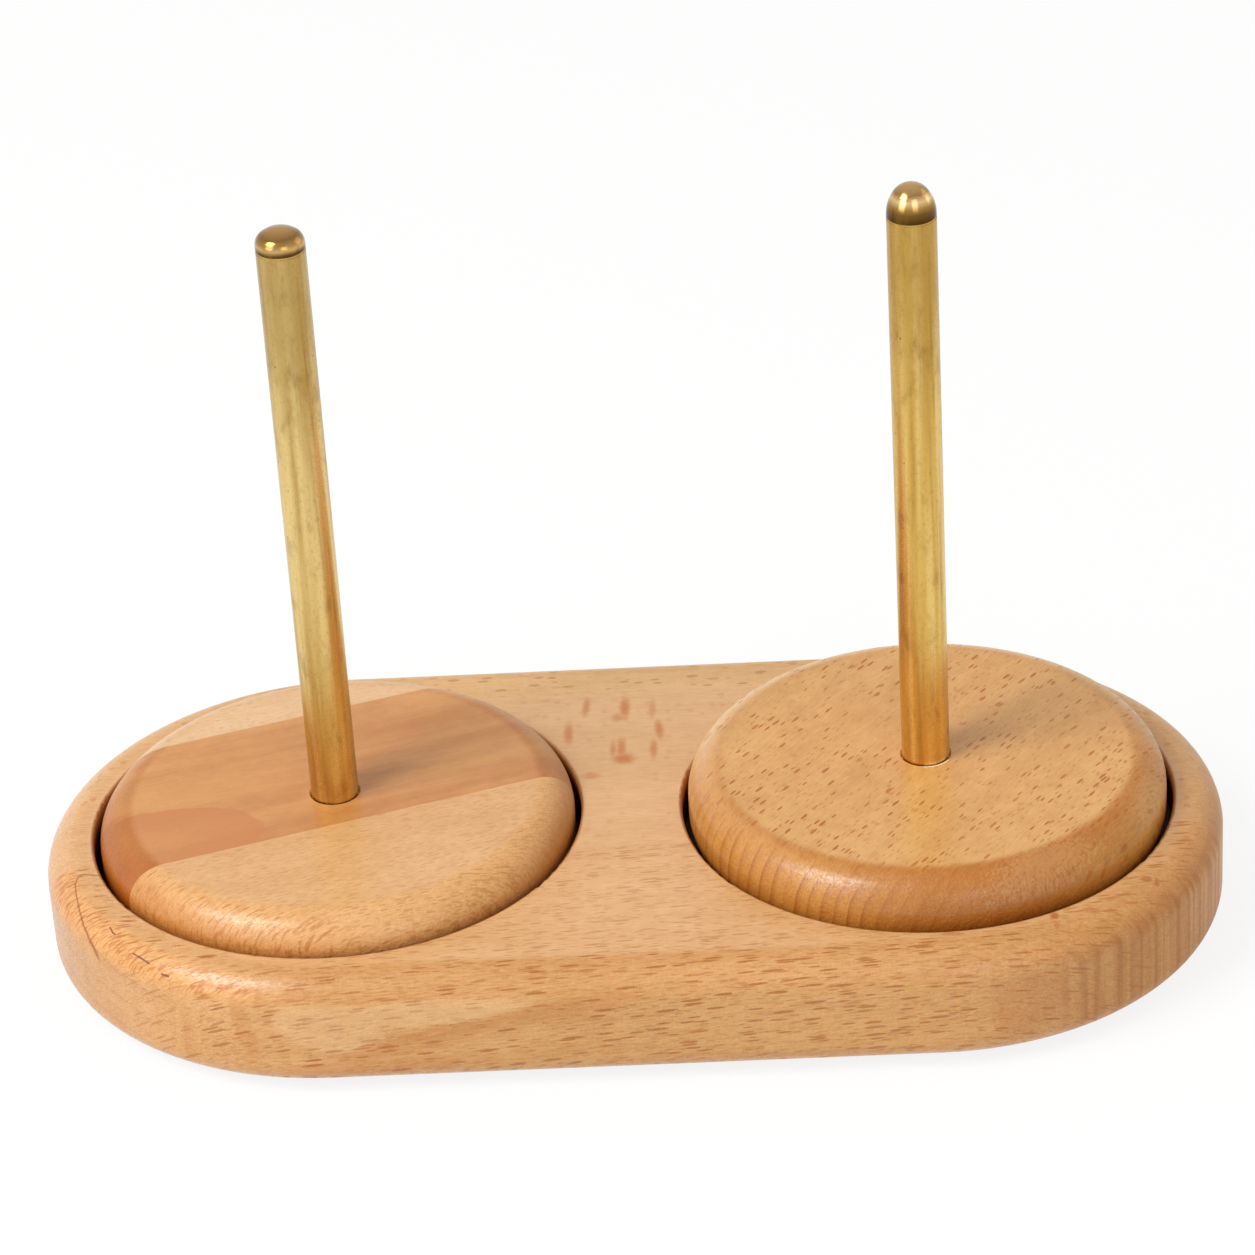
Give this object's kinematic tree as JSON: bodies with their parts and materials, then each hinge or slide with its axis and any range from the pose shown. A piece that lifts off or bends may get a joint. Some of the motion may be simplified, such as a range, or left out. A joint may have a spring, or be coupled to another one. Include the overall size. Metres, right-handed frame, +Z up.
{
  "type": "thread rack",
  "caption": "Wooden stand for two thread spools: a round-ended base board with sunk turntable discs that turn with upright brass rods on ball bearings.",
  "frame": {"origin": "on the table under the middle of the base board, midway between the two rods", "axes": "+X along the base from the left rod to the right rod, +Y towards the back, +Z up along the rods"},
  "size_m": [0.2474, 0.1234, 0.168],
  "materials": {
    "beech_base_front": "satin lacquered beech, dark flecks along the grain",
    "beech_base_middle": "satin lacquered beech, quarter-sawn with ray marks",
    "beech_base_back": "satin lacquered beech, fine flecks",
    "beech_disc_pale": "satin lacquered pale beech",
    "beech_disc_heartwood": "satin lacquered steamed beech heartwood",
    "beech_disc_honey": "satin lacquered honey-coloured beech",
    "brass": "drawn brass, satin with a polished tip",
    "bearing_steel": "ground bearing steel",
    "polished_steel": "polished balls",
    "cage_steel": "pressed steel strip",
    "sheet_steel": "pressed steel sheet",
    "zinc_steel": "bright zinc plate",
    "rubber": "matt black rubber"
  },
  "bodies": {
    "base": {"base_front_stave": "beech_base_front", "base_middle_stave": "beech_base_middle", "base_back_stave": "beech_base_back", "rubber_feet": "rubber", "left_bearing_outer_ring": "bearing_steel", "left_bearing_shields": "sheet_steel", "right_bearing_outer_ring": "bearing_steel", "right_bearing_shields": "sheet_steel"},
    "left_turntable": {"left_disc_front_stave": "beech_disc_pale", "left_disc_middle_stave": "beech_disc_heartwood", "left_disc_back_stave": "beech_disc_pale", "left_rod": "brass", "left_shim_washer": "zinc_steel", "left_bearing_inner_ring": "bearing_steel", "left_retaining_washer": "zinc_steel", "left_retaining_screw": "zinc_steel"},
    "left_ball_cage": {"left_bearing_balls": "polished_steel", "left_cage_upper_half": "cage_steel", "left_cage_lower_half": "cage_steel", "left_cage_rivets": "cage_steel"},
    "right_turntable": {"right_disc": "beech_disc_honey", "right_rod": "brass", "right_shim_washer": "zinc_steel", "right_bearing_inner_ring": "bearing_steel", "right_retaining_washer": "zinc_steel", "right_retaining_screw": "zinc_steel"},
    "right_ball_cage": {"right_bearing_balls": "polished_steel", "right_cage_upper_half": "cage_steel", "right_cage_lower_half": "cage_steel", "right_cage_rivets": "cage_steel"}
  },
  "joints": [
    {"name": "left_turntable_spin", "type": "hinge", "parent": "base", "child": "left_turntable", "pos_m": [-0.062, 0, 0], "axis": [0, 0, 1], "continuous": true},
    {"name": "left_cage_spin", "type": "hinge", "parent": "base", "child": "left_ball_cage", "pos_m": [-0.062, 0, 0], "axis": [0, 0, 1], "continuous": true},
    {"name": "right_turntable_spin", "type": "hinge", "parent": "base", "child": "right_turntable", "pos_m": [0.062, 0, 0], "axis": [0, 0, 1], "continuous": true},
    {"name": "right_cage_spin", "type": "hinge", "parent": "base", "child": "right_ball_cage", "pos_m": [0.062, 0, 0], "axis": [0, 0, 1], "continuous": true}
  ],
  "couplings": [
    {"joint": "left_cage_spin", "follows": "left_turntable_spin", "ratio": 0.3677},
    {"joint": "right_cage_spin", "follows": "right_turntable_spin", "ratio": 0.3677}
  ]
}
